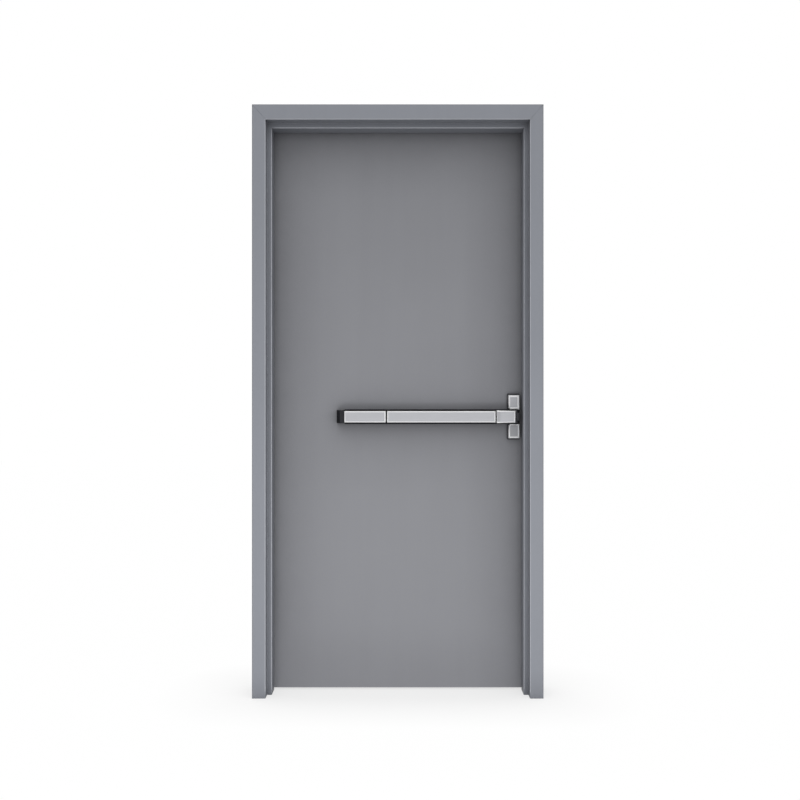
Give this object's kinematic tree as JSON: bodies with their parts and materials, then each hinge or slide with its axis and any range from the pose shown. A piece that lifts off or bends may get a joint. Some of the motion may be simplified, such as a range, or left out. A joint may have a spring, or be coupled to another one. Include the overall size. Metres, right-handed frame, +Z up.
{
  "type": "steel utility door",
  "caption": "Flush hollow steel door leaf on butt hinges in a folded steel frame, with a touch-bar exit device that draws back a rim latch.",
  "frame": {"origin": "underside of the floor clip in the hinge jamb, between its bolt holes, halfway across the jamb's face and its soffit, at floor level", "axes": "+Z up; +X along the doorway from the hinge jamb to the strike jamb; +Y from the push side to the pull side, the way the leaf opens"},
  "size_m": [1.025, 0.191, 2.0885],
  "materials": {
    "frame_paint": "satin grey paint over pressed steel",
    "leaf_paint": "satin grey paint over steel sheet",
    "galvanised": "bare galvanised sheet, dull",
    "hinge_steel": "satin steel",
    "silver_cover": "satin silver, fine brushed",
    "black_housing": "black powder coat",
    "black_plastic": "black moulded plastic",
    "guide_steel": "turned steel",
    "latch_steel": "blackened steel",
    "silencer_rubber": "grey rubber"
  },
  "bodies": {
    "door_frame": {"hinge_jamb": "frame_paint", "strike_jamb": "frame_paint", "frame_head": "frame_paint", "hinge_jamb_floor_clip": "galvanised", "strike_jamb_floor_clip": "galvanised", "hinge_jamb_wall_clips": "galvanised", "strike_jamb_wall_clips": "galvanised", "frame_hinge_backings": "galvanised", "door_silencers": "silencer_rubber", "lower_hinge_frame_leaf": "hinge_steel", "lower_hinge_pin": "hinge_steel", "middle_hinge_frame_leaf": "hinge_steel", "middle_hinge_pin": "hinge_steel", "upper_hinge_frame_leaf": "hinge_steel", "upper_hinge_pin": "hinge_steel"},
    "door_leaf": {"push_face_sheet": "leaf_paint", "pull_face_sheet": "leaf_paint", "leaf_top_channel": "leaf_paint", "leaf_bottom_channel": "leaf_paint", "leaf_hinge_backings": "galvanised", "lower_hinge_door_leaf": "hinge_steel", "middle_hinge_door_leaf": "hinge_steel", "upper_hinge_door_leaf": "hinge_steel", "mounting_rail": "black_housing", "rail_end_cap": "black_plastic", "rail_cover": "silver_cover", "touch_bar_guides": "guide_steel", "head_cover": "silver_cover", "latch_backplate": "black_housing", "latch_case": "black_housing", "upper_case_cover": "silver_cover", "lower_case_cover": "silver_cover"},
    "push_bar": {"touch_bar": "silver_cover"},
    "latch": {"latch_bolt": "latch_steel"}
  },
  "joints": [
    {"name": "door_swing", "type": "hinge", "parent": "door_frame", "child": "door_leaf", "pos_m": [0.02625, 0.0975, 0], "axis": [0, 0, 1], "range_deg": [0, 180]},
    {"name": "touch_bar_press", "type": "slide", "parent": "door_leaf", "child": "push_bar", "axis": [0, 1, 0], "range_m": [0, 0.02], "stiffness_N_per_m": 2000, "springref_m": -0.01},
    {"name": "latch_retract", "type": "slide", "parent": "door_leaf", "child": "latch", "axis": [-1, 0, 0], "range_m": [0, 0.011]}
  ],
  "couplings": [
    {"joint": "latch_retract", "follows": "touch_bar_press", "ratio": 0.55}
  ]
}
